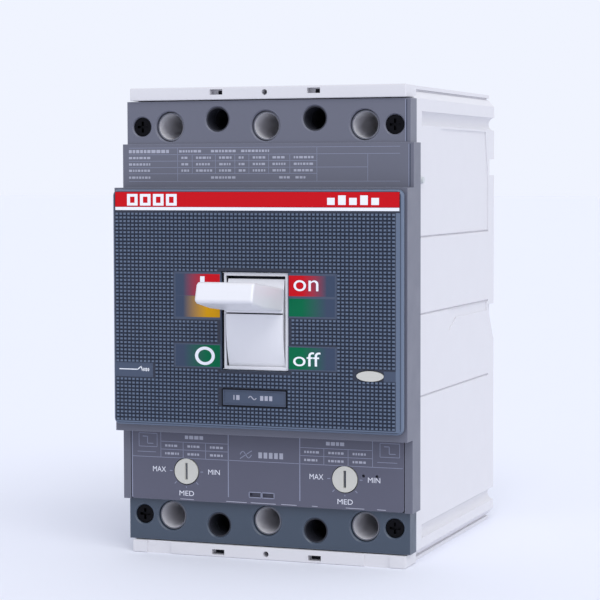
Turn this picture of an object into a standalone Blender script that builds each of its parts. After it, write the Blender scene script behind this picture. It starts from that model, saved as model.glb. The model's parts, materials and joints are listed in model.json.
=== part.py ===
"""Three-pole molded case breaker: housing, cover, fascia, lever, toggle mechanism, contacts and trip unit.

Run with: blender --background --python part.py

X runs to the right, Y to the back and Z up. The origin is the centre of the rear mounting face, so the front
of the breaker is at negative Y. Lengths below are in millimetres, and new_object turns them into metres.
The breaker is modelled switched on: the lever is up and the contacts are closed.
"""

from math import cos, pi, radians, sin

import bmesh
import bpy
from mathutils import Matrix, Vector

MM = 0.001
GAP = 0.3  # clearance between pieces that lie against each other

# Driving dimensions
POLE_PITCH = 35.0
POLES = (-POLE_PITCH, 0.0, POLE_PITCH)
HALF_WIDTH = 50.0
HALF_HEIGHT = 80.0
REAR_WALL = 4.0
BASE_FRONT = -101.0
STRIP_FRONT = -109.1  # front of the two light strips above and below the cover
STRIP_Z = 75.7  # inner edge of those strips
STRIP_HALF = 49.5
EDGE = 0.4  # rounding of the moulded edges
TUBE_FRONT = -106.8  # front of the tubes that guide a key to the terminal screws
LIP_HALF = 48.0  # half width beyond the grooves at the two ends
CAVITY_HALF = 15.5  # of the middle pole; the outer poles' chambers run between the next two
OUTER_CAVITY = (19.5, 47.0)
SEAM_Z = (29.5, 3.5, -24.2)  # grooves along the sides
CHANNEL_Z = (69.1, -70.0)  # round channels along the sides

# Terminal zones
SCREW_Z = 66.8
MOUNT_X, MOUNT_Z = 17.5, 69.1
COVER_SCREW_X = 45.4
PAD_FRONT, PAD_BACK = -38.0, -34.0
ENTRY_FRONT, ENTRY_BACK = -58.0, -33.6
CHAMBER_Z = 57.0
PAD_HALF = 9.0

# Cover: (lower z, upper z, half width, front face)
COVER_SIDE_REAR = BASE_FRONT - GAP
TERMINAL_FRONT = -108.1
LABEL_FRONT = -108.9
BLOCK_FRONT = -115.9
PANEL_FRONT = -110.0
FASCIA_FRONT = -119.0
COVER_WALL = 3.0
COVER_STEPS = (
    (60.7, 75.4, 50.9, TERMINAL_FRONT),
    (45.9, 60.7, 52.3, LABEL_FRONT),
    (-37.0, 45.9, 52.3, BLOCK_FRONT),
    (-61.3, -37.0, 52.3, PANEL_FRONT),
    (-75.4, -61.3, 50.9, TERMINAL_FRONT),
)
FASCIA_HALF = 51.6
FASCIA_Z = (-34.4, 45.5)
WINDOW_HALF, WINDOW_Z = 12.1, (-14.9, 18.3)
SWEEP_HALF, SWEEP_Z = 11.2, (-33.6, 38.0)  # slot behind the fascia for the swinging shield
STRIPE_Z = (39.7, 44.7)
BADGE_HALF, BADGE_Z = 11.7, (-26.9, -20.8)
BUTTON_X, BUTTON_Z = 40.6, -15.3
BUTTON_SIZE = (9.3, 3.4)
PANEL_HALF, PANEL_Z = 49.3, (-61.0, -37.3)
PANEL_THICK = 2.6
DIAL_X, DIAL_Z, DIAL_RADIUS = 28.7, -50.9, 4.4

# Lever: everything on it turns about the X axis through PIVOT
PIVOT = (-73.0, 1.8)
LEVER_UP = 8.6  # degrees above the horizontal when switched on
SHIELD_RADIUS = 46.0
SHIELD_HALF = 10.1

# Contacts: the crossbar turns about the X axis through CROSSBAR
CROSSBAR = (-62.0, -8.0)
CROSSBAR_RADIUS = 8.0
ARM_AT = 65.6  # degrees from +Y towards +Z
LUG_AT, LUG_LENGTH = 59.3, 13.0

# Toggle links
LATCH_PIVOT = (-90.0, 11.0)
UPPER_LINK, UPPER_AT = 20.0, -43.54
LOWER_AT = -163.5

# Trip unit
TRIP_BAR = (-89.0, -30.0)
LATCH_PIN = (-92.0, -15.0)

MATERIALS = {
    "light_grey_plastic": ((0.72, 0.75, 0.81), 0.45, 0.0),
    "grey_plastic": ((0.115, 0.135, 0.19), 0.42, 0.0),
    "dark_blue_plastic": ((0.055, 0.085, 0.14), 0.38, 0.0),
    "white_plastic": ((0.80, 0.82, 0.86), 0.35, 0.0),
    "cream_plastic": ((0.70, 0.69, 0.62), 0.40, 0.0),
    "dark_plastic": ((0.02, 0.025, 0.035), 0.45, 0.0),
    "red_film": ((0.60, 0.01, 0.03), 0.35, 0.0),
    "black_steel": ((0.015, 0.015, 0.017), 0.35, 1.0),
    "zinc_steel": ((0.60, 0.60, 0.58), 0.32, 1.0),
    "spring_steel": ((0.45, 0.45, 0.46), 0.28, 1.0),
    "plated_copper": ((0.72, 0.72, 0.70), 0.28, 1.0),
    "copper": ((0.72, 0.32, 0.18), 0.30, 1.0),
    "silver_alloy": ((0.82, 0.82, 0.80), 0.30, 1.0),
    "fibre_board": ((0.40, 0.16, 0.08), 0.70, 0.0),
    "bimetal_strip": ((0.55, 0.48, 0.38), 0.35, 1.0),
    "brown_phenolic": ((0.10, 0.045, 0.025), 0.50, 0.0),
}


def clear_scene():
    for old in list(bpy.data.objects):
        bpy.data.objects.remove(old, do_unlink=True)


def material(name):
    made = bpy.data.materials.get(name)
    if made:
        return made
    colour, roughness, metallic = MATERIALS[name]
    made = bpy.data.materials.new(name)
    made.use_nodes = True
    shader = made.node_tree.nodes["Principled BSDF"]
    shader.inputs["Base Color"].default_value = (*colour, 1.0)
    shader.inputs["Roughness"].default_value = roughness
    shader.inputs["Metallic"].default_value = metallic
    made.diffuse_color = (*colour, 1.0)
    return made


def new_object(name, bm):
    """A mesh object in the scene from a bmesh drawn in millimetres."""
    bmesh.ops.recalc_face_normals(bm, faces=bm.faces)
    bmesh.ops.scale(bm, vec=(MM, MM, MM), verts=bm.verts)
    mesh = bpy.data.meshes.new(name)
    bm.to_mesh(mesh)
    bm.free()
    made = bpy.data.objects.new(name, mesh)
    bpy.context.scene.collection.objects.link(made)
    return made


def box(x, y, z):
    """A box from three (low, high) pairs."""
    bm = bmesh.new()
    bmesh.ops.create_cube(bm, size=1.0)
    size = [abs(high - low) for low, high in (x, y, z)]
    middle = [(low + high) / 2 for low, high in (x, y, z)]
    bmesh.ops.scale(bm, vec=size, verts=bm.verts)
    bmesh.ops.translate(bm, vec=middle, verts=bm.verts)
    return new_object("block", bm)


def prism(outline, low, high, axis="X"):
    """An outline extruded from low to high: of (y, z) points along X, (x, z) along Y or (x, y) along Z."""
    place = {
        "X": lambda p, t: (t, p[0], p[1]),
        "Y": lambda p, t: (p[0], t, p[1]),
        "Z": lambda p, t: (p[0], p[1], t),
    }[axis]
    bm = bmesh.new()
    near = [bm.verts.new(place(p, low)) for p in outline]
    far = [bm.verts.new(place(p, high)) for p in outline]
    bm.faces.new(near)
    bm.faces.new(reversed(far))
    count = len(outline)
    for i in range(count):
        j = (i + 1) % count
        bm.faces.new((near[j], near[i], far[i], far[j]))
    return new_object("prism", bm)


def arc(centre, radius, start, end, steps):
    """Points on an arc, in degrees from the first axis towards the second."""
    angles = [radians(start + (end - start) * i / steps) for i in range(steps + 1)]
    return [(centre[0] + radius * cos(a), centre[1] + radius * sin(a)) for a in angles]


def disc(centre, radius, sides=24):
    turns = [2 * pi * i / sides for i in range(sides)]
    return [(centre[0] + radius * cos(t), centre[1] + radius * sin(t)) for t in turns]


def rounded(x, z, radius, steps=4):
    """A rectangle of two (low, high) pairs with round corners."""
    corners = (
        (x[1] - radius, z[1] - radius, 0),
        (x[0] + radius, z[1] - radius, 90),
        (x[0] + radius, z[0] + radius, 180),
        (x[1] - radius, z[0] + radius, 270),
    )
    return [p for cx, cz, turn in corners for p in arc((cx, cz), radius, turn, turn + 90, steps)]


def rod(centre, radius, low, high, axis="X", sides=24):
    return prism(disc(centre, radius, sides), low, high, axis)


def funnel(centre, radius, front, depth=0.4, sides=32):
    """A short cone along Y that chamfers the edge of a hole in the front face at y = front."""
    bm = bmesh.new()
    ends = ((front - depth, radius + 2 * depth), (front + depth, radius))
    rings = [[bm.verts.new((x, y, z)) for x, z in disc(centre, r, sides)] for y, r in ends]
    bm.faces.new(rings[0])
    bm.faces.new(reversed(rings[1]))
    for i in range(sides):
        j = (i + 1) % sides
        bm.faces.new((rings[0][j], rings[0][i], rings[1][i], rings[1][j]))
    return new_object("funnel", bm)


def at(centre, length, degrees):
    return (centre[0] + length * cos(radians(degrees)), centre[1] + length * sin(radians(degrees)))


def apply_modifiers(made):
    """Replaces an object's mesh with what its modifiers make of it."""
    bpy.context.view_layer.update()
    evaluated = made.evaluated_get(bpy.context.evaluated_depsgraph_get())
    mesh = bpy.data.meshes.new_from_object(evaluated)
    made.modifiers.clear()
    old, made.data = made.data, mesh
    bpy.data.meshes.remove(old)
    return made


def soften(made, width, segments=2):
    """Rounds the sharp edges of a block, before holes are cut in it."""
    flat = made.modifiers.new("flat", "DECIMATE")
    flat.decimate_type = "DISSOLVE"
    flat.angle_limit = radians(1)
    modifier = made.modifiers.new("soften", "BEVEL")
    modifier.width = width * MM
    modifier.segments = segments
    modifier.limit_method = "ANGLE"
    modifier.angle_limit = radians(40)
    return apply_modifiers(made)


def combine(target, tools, operation):
    """Applies one exact Boolean for each tool, and removes the tools."""
    for tool in tools:
        modifier = target.modifiers.new(operation.lower(), "BOOLEAN")
        modifier.operation = operation
        modifier.solver = "EXACT"
        modifier.object = tool
        apply_modifiers(target)
        bpy.data.objects.remove(tool, do_unlink=True)
    return target


def cut(target, *tools):
    return combine(target, tools, "DIFFERENCE")


def join(target, *tools):
    return combine(target, tools, "UNION")


def finish(made, name, slot, origin=(0.0, 0.0, 0.0)):
    """Names a piece, gives it its material and moves its origin to a point, in millimetres."""
    made.name = name
    made.data.name = name
    made.data.materials.clear()
    made.data.materials.append(material(slot))
    for face in made.data.polygons:
        face.material_index = 0
    point = Vector(origin) * MM
    made.data.transform(Matrix.Translation(-point))
    made.location = point
    return made


def both(function):
    """The pieces that function(side) makes for the left and the right."""
    return [function(side) for side in (-1, 1)]


def span(side, inner, outer):
    return tuple(sorted((side * inner, side * outer)))


# Housing


def base_housing():
    shoulder, lip, notch = 75.6, 77.9, 78.3
    profile = []
    for side_x, side_z in ((1, 1), (-1, 1), (-1, -1), (1, -1)):
        corner = [
            (side_x * HALF_WIDTH, side_z * shoulder),
            (side_x * LIP_HALF, side_z * lip),
            (side_x * (LIP_HALF - 1.0), side_z * notch),
            (side_x * (LIP_HALF - 1.0), side_z * (notch + 0.4)),
            (side_x * LIP_HALF, side_z * (notch + 0.5)),
            (side_x * LIP_HALF, side_z * HALF_HEIGHT),
        ]
        profile += corner if side_x * side_z > 0 else corner[::-1]
    base = prism(profile, BASE_FRONT, 0.0, "Y")
    for side in (-1, 1):
        outer = span(side, STRIP_Z, HALF_HEIGHT - 0.01)
        join(base, soften(box((-STRIP_HALF, STRIP_HALF), (STRIP_FRONT, BASE_FRONT + 4), outer), EDGE))
    deep, tall = (BASE_FRONT - 1, -REAR_WALL), (-CHAMBER_Z, CHAMBER_Z)
    cut(base, box((-CAVITY_HALF, CAVITY_HALF), deep, tall))
    cut(base, *both(lambda s: box(span(s, *OUTER_CAVITY), deep, tall)))
    for end in (-1, 1):
        for x in POLES:
            entry = box(
                (x - PAD_HALF - 1.5, x + PAD_HALF + 1.5),
                (ENTRY_FRONT, ENTRY_BACK),
                span(end, CHAMBER_Z - 1, HALF_HEIGHT + 1),
            )
            cut(base, entry)
            join(base, rod((x, end * SCREW_Z), 4.8, TUBE_FRONT, BASE_FRONT + 2, "Y"))
            bore = rod((x, end * SCREW_Z), 4.35, STRIP_FRONT - 1, ENTRY_FRONT + 1, "Y")
            cut(base, bore, rod((x, end * SCREW_Z), 3.4, ENTRY_BACK - 1, -22.0, "Y", 16))
        for x in (-MOUNT_X, MOUNT_X):
            cut(base, rod((x, end * MOUNT_Z), 4.0, BASE_FRONT - 1, -12.0, "Y"))
            cut(base, rod((x, end * MOUNT_Z), 2.7, -13.0, 1.0, "Y", 16))
            cut(base, box((x - 2.3, x + 2.3), (STRIP_FRONT - 1, -106.0), span(end, 77.4, 79.2)))
        for x in (-COVER_SCREW_X, COVER_SCREW_X):
            cut(base, rod((x, end * SCREW_Z), 1.9, BASE_FRONT - 1, -86.0, "Y", 12))
        cut(base, rod((0.0, end * 78.0), 1.0, STRIP_FRONT - 1, -104.0, "Y", 12))
    for side in (-1, 1):
        cut(base, box(span(side, 35.0, 44.0), (STRIP_FRONT - 1, STRIP_FRONT + 0.6), (-81.0, -75.0)))
    cut_bearings(base)
    join_posts(base)
    cut_side_marks(base)
    cut_rear(base)
    return finish(base, "base_housing", "light_grey_plastic")


def cut_bearings(base):
    """Open notches in the pole walls for the crossbar and the trip bar."""
    for (y, z), radius in ((CROSSBAR, CROSSBAR_RADIUS + 0.5), (TRIP_BAR, 3.5)):
        outline = arc((y, z), radius, 90, -90, 12)
        outline += [(BASE_FRONT - 1, z - radius), (BASE_FRONT - 1, z + radius)]
        cut(base, *both(lambda s: prism(outline, *span(s, 14.5, 20.5))))


def join_posts(base):
    """Posts on the pole walls that carry the mechanism's side plates."""
    for low, high in ((8.0, 18.0), (-33.0, -22.0)):
        join(base, *both(lambda s: box(span(s, 12.4, 16.5), (-56.0, -REAR_WALL + 1), (low, high))))


def cut_side_marks(base):
    """Grooves, channels and the shallow step on the two sides."""
    depth = 0.4
    step = [(-70.3, 66.0), (-70.3, 57.0), (-47.5, 29.9), (-8.0, 29.9), (-8.0, 48.0), (-12.0, 66.0)]
    low_step = [(-60.0, -4.5), (-50.5, -0.1), (-10.0, -0.1), (-10.0, 3.1), (-60.0, 3.1)]
    for side in (-1, 1):
        for z in SEAM_Z:
            groove = [(HALF_WIDTH - 0.7, z), (HALF_WIDTH + 0.3, z - 0.6), (HALF_WIDTH + 0.3, z + 0.6)]
            cut(base, prism([(side * x, zz) for x, zz in groove], BASE_FRONT - 1, -8.0, "Y"))
        for z in CHANNEL_Z:
            channel = disc((side * (HALF_WIDTH + 0.2), z), 2.4, 16)
            cut(base, prism(channel, -92.5, 1.0, "Y"))
        cut(base, prism(step, *span(side, HALF_WIDTH - depth, HALF_WIDTH + 1)))
        cut(base, prism(low_step, *span(side, HALF_WIDTH - depth, HALF_WIDTH + 1)))
        cut(base, box(span(side, 48.0, 51.0), (-6.5, 1.0), (50.1, 56.1)))
        cut(base, prism([(-9.0, 2.0), (1.0, 2.0), (1.0, -11.5), (-0.8, -10.5)], *span(side, 48.2, 51.0)))


def cut_rear(base):
    """Shallow pockets between the ribs of the mounting face."""
    for x in POLES:
        for end in (-1, 1):
            cut(base, box((x - 11.0, x + 11.0), (-1.2, 1.0), span(end, 12.0, 46.0)))


def main_cover():
    cover = None
    for low, high, half, front in COVER_STEPS:
        overlap = 0.0 if high > 75 else 0.2
        part = box((-half, half), (front, COVER_SIDE_REAR), (low, high + overlap))
        cover = join(cover, part) if cover else part
    soften(cover, EDGE)
    inner = HALF_WIDTH - 3.0
    cut(
        cover,
        box((-inner, inner), (BLOCK_FRONT + COVER_WALL, COVER_SIDE_REAR + 1), (-33.6, 43.0)),
        box((-inner, inner), (TERMINAL_FRONT + COVER_WALL, COVER_SIDE_REAR + 1), (-57.0, 57.0)),
        box((-SWEEP_HALF, SWEEP_HALF), (BLOCK_FRONT - 1, BLOCK_FRONT + 5), SWEEP_Z),
        prism(disc((BUTTON_X, BUTTON_Z), 2.0, 16), BLOCK_FRONT - 1, BLOCK_FRONT + 5, "Y"),
        box(
            (-PANEL_HALF - GAP, PANEL_HALF + GAP),
            (PANEL_FRONT - 1, PANEL_FRONT + PANEL_THICK + GAP),
            (PANEL_Z[0] - GAP, PANEL_Z[1] + GAP),
        ),
    )
    for x in (-DIAL_X, DIAL_X):
        cut(cover, rod((x, DIAL_Z), 2.6, PANEL_FRONT, PANEL_FRONT + 8, "Y", 16))
    for end in (-1, 1):
        holes = [((x, end * SCREW_Z), 5.1, BASE_FRONT + 1) for x in POLES]
        holes += [((x, end * MOUNT_Z), 4.2, BASE_FRONT + 1) for x in (-MOUNT_X, MOUNT_X)]
        holes += [((x, end * SCREW_Z), 3.3, TERMINAL_FRONT + 3.6) for x in (-COVER_SCREW_X, COVER_SCREW_X)]
        for centre, radius, back in holes:
            cut(cover, rod(centre, radius, TERMINAL_FRONT - 1, back, "Y", 32))
            cut(cover, funnel(centre, radius, TERMINAL_FRONT))
        for x in (-COVER_SCREW_X, COVER_SCREW_X):
            cut(cover, rod((x, end * SCREW_Z), 1.9, TERMINAL_FRONT + 3, BASE_FRONT + 1, "Y", 12))
    return finish(cover, "main_cover", "grey_plastic")


def fascia_cover():
    back = BLOCK_FRONT - GAP
    outline = rounded((-FASCIA_HALF, FASCIA_HALF), FASCIA_Z, 2.0)
    fascia = soften(prism(outline, FASCIA_FRONT, back, "Y"), 0.8, 3)
    cut(
        fascia,
        box((-WINDOW_HALF, WINDOW_HALF), (FASCIA_FRONT - 1, back + 1), WINDOW_Z),
        prism(oval(0.25), FASCIA_FRONT - 1, back + 1, "Y"),
        box((-BADGE_HALF, BADGE_HALF), (FASCIA_FRONT - 1, FASCIA_FRONT + 0.9), BADGE_Z),
        box((-50.7, 50.7), (FASCIA_FRONT - 1, FASCIA_FRONT + 0.5), (STRIPE_Z[0] - 0.1, STRIPE_Z[1] + 0.1)),
    )
    return finish(fascia, "fascia_cover", "dark_blue_plastic")


def oval(grow=0.0, sides=28):
    """The test button's outline, made larger all round by grow."""
    wide, tall = BUTTON_SIZE[0] / 2 + grow, BUTTON_SIZE[1] / 2 + grow
    turns = [2 * pi * i / sides for i in range(sides)]
    return [(BUTTON_X + wide * cos(t), BUTTON_Z + tall * sin(t)) for t in turns]


def stripe_label():
    label = box((-50.5, 50.5), (FASCIA_FRONT - 0.05, FASCIA_FRONT + 0.25), STRIPE_Z)
    return finish(label, "stripe_label", "red_film")


def rating_badge():
    wide = (-BADGE_HALF + 0.25, BADGE_HALF - 0.25)
    tall = (BADGE_Z[0] + 0.25, BADGE_Z[1] - 0.25)
    badge = box(wide, (FASCIA_FRONT - 0.25, FASCIA_FRONT + 0.65), tall)
    inside = box(
        (wide[0] + 0.6, wide[1] - 0.6), (FASCIA_FRONT - 1, FASCIA_FRONT + 0.1), (tall[0] + 0.6, tall[1] - 0.6)
    )
    return finish(cut(badge, inside), "rating_badge", "dark_blue_plastic")


def window_bezel():
    outer_x, outer_z = WINDOW_HALF - 0.3, (WINDOW_Z[0] + 0.3, WINDOW_Z[1] - 0.3)
    wall = 1.2
    front = FASCIA_FRONT + 1.0
    back = front + 1.4
    bezel = box((-outer_x, outer_x), (front, back), outer_z)
    hole = box(
        (-outer_x + wall, outer_x - wall), (front - 1, back + 1), (outer_z[0] + wall, outer_z[1] - wall)
    )
    return finish(cut(bezel, hole), "window_bezel", "white_plastic")


def trip_unit_panel():
    back = PANEL_FRONT + PANEL_THICK
    panel = prism(rounded((-PANEL_HALF, PANEL_HALF), PANEL_Z, 0.8, 2), PANEL_FRONT, back, "Y")
    for x in (-DIAL_X, DIAL_X):
        cut(panel, rod((x, DIAL_Z), DIAL_RADIUS + 0.3, PANEL_FRONT - 1, back + 1, "Y", 32))
    cut(
        panel,
        box((-5.6, 3.4), (PANEL_FRONT - 1, PANEL_FRONT + 1.2), (-58.7, -56.9)),
        rod((35.2, -49.5), 0.55, PANEL_FRONT - 1, PANEL_FRONT + 1.5, "Y", 10),
        rod((39.9, -49.5), 0.55, PANEL_FRONT - 1, PANEL_FRONT + 1.5, "Y", 10),
    )
    return finish(panel, "trip_unit_panel", "grey_plastic")


def cover_screw(name, x, z):
    head = rod((x, z), 3.0, TERMINAL_FRONT + 0.7, TERMINAL_FRONT + 3.3, "Y")
    join(head, rod((x, z), 1.6, TERMINAL_FRONT + 3, -88.0, "Y", 12))
    arm, half = 1.9, 0.45
    for wide, tall in ((arm, half), (half, arm)):
        cut(head, box((x - wide, x + wide), (TERMINAL_FRONT, TERMINAL_FRONT + 2.0), (z - tall, z + tall)))
    return finish(head, name, "black_steel", (x, TERMINAL_FRONT + 0.7, z))


# Current path


def terminal(name, x, end):
    """A bar from the cable opening to the contacts at the top, or to the bimetal at the bottom."""
    inner = 19.0 if end > 0 else 33.0
    bar = box((x - PAD_HALF, x + PAD_HALF), (PAD_FRONT, PAD_BACK), span(end, inner, 79.5))
    cut(bar, rod((x, end * SCREW_Z), 3.3, PAD_FRONT - 1, PAD_BACK + 1, "Y", 20))
    return finish(bar, name, "plated_copper")


def terminal_screw(name, x, z):
    """A socket-head screw that clamps the cable lug on the pad."""
    head_back = PAD_FRONT - GAP
    screw = rod((x, z), 4.0, head_back - 5.5, head_back, "Y", 28)
    join(screw, rod((x, z), 2.9, head_back - 1, -24.0, "Y", 16))
    cut(screw, rod((x, z), 2.3, head_back - 6.5, head_back - 2.2, "Y", 6))
    return finish(screw, name, "zinc_steel", (x, head_back, z))


def fixed_contact(name, x):
    tip = box((x - 3.5, x + 3.5), (PAD_FRONT - GAP - 2.6, PAD_FRONT - GAP), (23.0, 30.0))
    return finish(tip, name, "silver_alloy")


def contact_arm(name, x):
    """A straight bar through the crossbar whose end is flat against the moving contact."""
    half = 3.4
    flat = -44.0
    tail, tip = at(CROSSBAR, -12.0, ARM_AT), at(CROSSBAR, 40.0, ARM_AT)
    normal = (sin(radians(ARM_AT)), -cos(radians(ARM_AT)))
    near = [(p[0] - half * normal[0], p[1] - half * normal[1]) for p in (tip, tail)]
    start = (tail[0] + half * normal[0], tail[1] + half * normal[1])
    rise = (flat - start[0]) / cos(radians(ARM_AT))
    corner = (flat, start[1] + rise * sin(radians(ARM_AT)))
    outline = [near[0], near[1], start, corner, (flat, 30.0)]
    arm = prism(outline, x - 3.0, x + 3.0)
    return finish(arm, name, "copper", (x, *CROSSBAR))


def moving_contact(name, x):
    tip = box((x - 2.9, x + 2.9), (-43.7, -41.2), (23.6, 29.6))
    return finish(tip, name, "silver_alloy", (x, *CROSSBAR))


def contact_crossbar():
    bar = rod(CROSSBAR, CROSSBAR_RADIUS, -46.5, 46.5, sides=28)
    along = (cos(radians(ARM_AT)), sin(radians(ARM_AT)))
    normal = (along[1], -along[0])
    slot = [
        (CROSSBAR[0] + a * along[0] + b * normal[0], CROSSBAR[1] + a * along[1] + b * normal[1])
        for a, b in ((-10, -3.7), (10, -3.7), (10, 3.7), (-10, 3.7))
    ]
    cut(bar, *[prism(slot, x - 3.3, x + 3.3) for x in POLES])
    for side in (-1, 1):
        relief = rod(CROSSBAR, CROSSBAR_RADIUS + 1.0, *span(side, 7.0, 9.3), sides=28)
        cut(bar, cut(relief, rod(CROSSBAR, 5.4, *span(side, 6.0, 10.0), sides=24)))
    pin = at(CROSSBAR, LUG_LENGTH, LUG_AT)
    side = (sin(radians(LUG_AT)), -cos(radians(LUG_AT)))
    lug = [(CROSSBAR[0] + 3.4 * side[0], CROSSBAR[1] + 3.4 * side[1])]
    lug += arc(pin, 3.4, LUG_AT - 90, LUG_AT + 90, 8)
    lug += [(CROSSBAR[0] - 3.4 * side[0], CROSSBAR[1] - 3.4 * side[1])]
    join(bar, *both(lambda s: prism(lug, *span(s, 4.6, 6.8))))
    join(bar, *both(lambda s: rod(pin, 1.6, *span(s, 6.0, 9.6), sides=16)))
    return finish(bar, "contact_crossbar", "brown_phenolic", (0, *CROSSBAR))


def arc_chute(name, x):
    """Steel plates between two fibre cheeks, with a throat for the sweeping contact."""
    front, back, low, high = -82.0, -42.5, 37.0, 56.0
    chute = join(
        box(span(1, x - 11.6, x - 10.2), (front, back), (low, high)),
        box((x - 10.8, x + 10.8), (front, back), (high - 1.4, high)),
        box(span(1, x + 10.2, x + 11.6), (front, back), (low, high)),
    )
    plates = 7
    pitch = (back - front - 3.0) / plates
    for i in range(plates):
        y = front + 3.0 + pitch * i
        throat = [(x - 10.8, low), (x - 7.5, low), (x, low + 7.0), (x + 7.5, low), (x + 10.8, low)]
        outline = throat + [(x + 10.8, high - 0.7), (x - 10.8, high - 0.7)]
        join(chute, prism(outline, y, y + 1.5, "Y"))
    return finish(chute, name, "fibre_board")


# Operating mechanism


def mechanism_plate(name, side):
    low, high, front, back = -33.0, 21.0, -98.0, -56.3
    outline = [(front, low), (back, low), (back, CROSSBAR[1] - 8.6)]
    outline += [(CROSSBAR[0], CROSSBAR[1] - 8.6)]
    outline += arc(CROSSBAR, 8.6, -100, -260, 10)
    outline += [(CROSSBAR[0], CROSSBAR[1] + 8.6), (back, CROSSBAR[1] + 8.6), (back, high), (front, high)]
    plate = prism(outline, *span(side, 13.2, 14.7))
    for centre, radius in ((PIVOT, 2.4), (LATCH_PIVOT, 2.0), (LATCH_PIN, 2.0)):
        cut(plate, rod(centre, radius, *span(side, 12.0, 16.0), sides=20))
    cut(plate, rod(TRIP_BAR, 3.6, *span(side, 12.0, 16.0), sides=20))
    return finish(plate, name, "zinc_steel")


def lever_arc(radius, thick, start, end, steps):
    """A curved strip around the lever's pivot: angles are above the horizontal, towards the front."""
    outer = arc(PIVOT, radius, 180 - start, 180 - end, steps)
    inner = arc(PIVOT, radius - thick, 180 - end, 180 - start, steps)
    return outer + inner


def handle_lever():
    """The white lever and the curved shield that closes the window below it."""
    shield = prism(lever_arc(SHIELD_RADIUS, 2.0, 17.7, -22.0, 18), -SHIELD_HALF, SHIELD_HALF)
    side = [(-117.0, 4.9), (-135.0, 7.0), (-144.9, 8.9), (-146.4, 10.0), (-144.6, 15.2), (-143.4, 16.0)]
    side += [(-117.0, 12.8)]
    lever = soften(prism(side, -SHIELD_HALF + 0.1, SHIELD_HALF - 0.1), 0.8, 3)
    boss = prism(lever_arc(SHIELD_RADIUS - 1.0, 6.1, LEVER_UP + 5, LEVER_UP - 5, 2), -6.0, 6.0)
    cut(shield, box((-SHIELD_HALF - 1, SHIELD_HALF + 1), (-120.0, -118.2), (4.1, 4.6)))
    join(shield, lever, boss)
    return finish(shield, "handle_lever", "white_plastic", (0, *PIVOT))


def handle_shutter():
    """The darker strip behind the shield that closes the window above the lever at OFF."""
    strip = prism(lever_arc(SHIELD_RADIUS - 2.3, 1.3, 42.0, 16.0, 10), -SHIELD_HALF, SHIELD_HALF)
    return finish(strip, "handle_shutter", "dark_plastic", (0, *PIVOT))


def handle_frame():
    """The steel yoke that carries the lever, with a pivot stub on each side."""
    axis = 180 - LEVER_UP
    reach = SHIELD_RADIUS - 7.4
    half = 4.0
    side = (sin(radians(axis)), -cos(radians(axis)))
    end = at(PIVOT, reach, axis)
    start = at(PIVOT, reach - 2.6, axis)
    corners = ((start, -1), (start, 1), (end, 1), (end, -1))
    bridge = [(p[0] + k * half * side[0], p[1] + k * half * side[1]) for p, k in corners]
    leg = arc(PIVOT, 4.6, axis + 90, axis + 270, 10) + bridge[2:]
    frame = prism(bridge, -12.2, 12.2)
    join(frame, *both(lambda s: prism(leg, *span(s, 11.2, 12.7))))
    join(frame, *both(lambda s: rod(PIVOT, 2.0, *span(s, 12.0, 15.0), sides=20)))
    return finish(frame, "handle_frame", "zinc_steel", (0, *PIVOT))


def link_plate(a, b, width):
    """The outline of a flat link with round ends, from a to b; width is its half width."""
    angle = Vector((b[0] - a[0], b[1] - a[1])).angle_signed(Vector((1, 0)))
    turn = angle * 180 / pi
    return arc(a, width, turn + 90, turn + 270, 8) + arc(b, width, turn - 90, turn + 90, 8)


def upper_link():
    """Two arms on one shaft that turns in the side plates."""
    toggle = at(LATCH_PIVOT, UPPER_LINK, UPPER_AT)
    outline = link_plate(LATCH_PIVOT, toggle, 3.0)
    link = rod(LATCH_PIVOT, 1.7, -15.0, 15.0, sides=16)
    join(link, *both(lambda s: prism(outline, *span(s, 5.2, 6.7))))
    cut(link, *both(lambda s: rod(toggle, 1.75, *span(s, 4.0, 8.0), sides=16)))
    return finish(link, "upper_link", "zinc_steel", (0, *LATCH_PIVOT))


def toggle_pin():
    toggle = at(LATCH_PIVOT, UPPER_LINK, UPPER_AT)
    return finish(rod(toggle, 1.45, -10.2, 10.2, sides=16), "toggle_pin", "zinc_steel", (0, *toggle))


def lower_link():
    """Two arms joined by a web: the far holes are wide around the crossbar's pins."""
    toggle = at(LATCH_PIVOT, UPPER_LINK, UPPER_AT)
    pin = at(CROSSBAR, LUG_LENGTH, LUG_AT)
    outline = link_plate(toggle, pin, 2.7)
    web = at(toggle, 5.4, 180 + LOWER_AT)
    link = rod(web, 1.3, -8.0, 8.0, sides=12)
    join(link, *both(lambda s: prism(outline, *span(s, 7.4, 8.9))))
    join(link, *both(lambda s: rod(pin, 4.6, *span(s, 7.4, 8.9), sides=20)))
    cut(link, *both(lambda s: rod(pin, 2.7, *span(s, 6.0, 10.0), sides=20)))
    cut(link, *both(lambda s: rod(toggle, 1.75, *span(s, 6.0, 10.0), sides=16)))
    return finish(link, "lower_link", "zinc_steel", (0, *toggle))


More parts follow.
